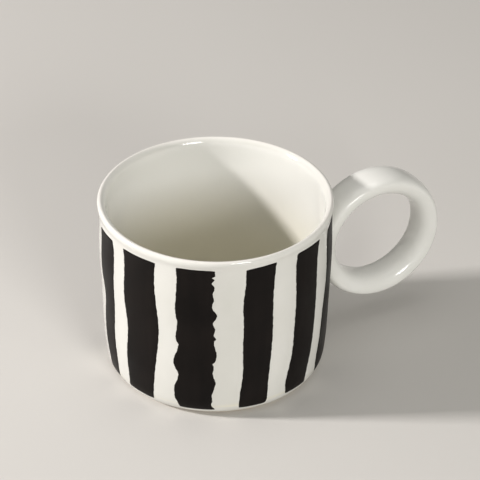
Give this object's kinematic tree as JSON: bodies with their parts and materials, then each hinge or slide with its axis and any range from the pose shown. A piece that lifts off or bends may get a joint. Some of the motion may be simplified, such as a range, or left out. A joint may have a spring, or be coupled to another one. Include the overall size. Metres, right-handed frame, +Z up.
{
  "type": "ring-handled mug",
  "caption": "Wide short hand-made ceramic cup with one full-ring handle, a bare clay foot, gloss white glaze and raised black vertical stripes with uneven edges.",
  "frame": {"origin": "centre of the foot, on the surface that the mug stands on", "axes": "+Z up along the cup's axis, +X from the cup's axis towards the ring handle, +Y to the left of +X"},
  "size_m": [0.1409, 0.09, 0.073],
  "materials": {
    "stoneware": "bare fired stoneware, matt, fine grit",
    "slip": "fired slip, matt",
    "white_glaze": "gloss, warm white, softly uneven",
    "black_glaze": "gloss, near black, softly uneven"
  },
  "bodies": {
    "root": {"cup_body": "stoneware", "ring_handle": "stoneware", "joint_slip": "slip", "cup_glaze": "white_glaze", "handle_glaze": "white_glaze", "joint_glaze_fillet": "white_glaze", "foot_well_glaze": "white_glaze", "stripe_01": "black_glaze", "stripe_02": "black_glaze", "stripe_03": "black_glaze", "stripe_04": "black_glaze", "stripe_05": "black_glaze", "stripe_06": "black_glaze", "stripe_07": "black_glaze", "stripe_08": "black_glaze", "stripe_09": "black_glaze", "stripe_10": "black_glaze", "stripe_11": "black_glaze"}
  },
  "joints": []
}
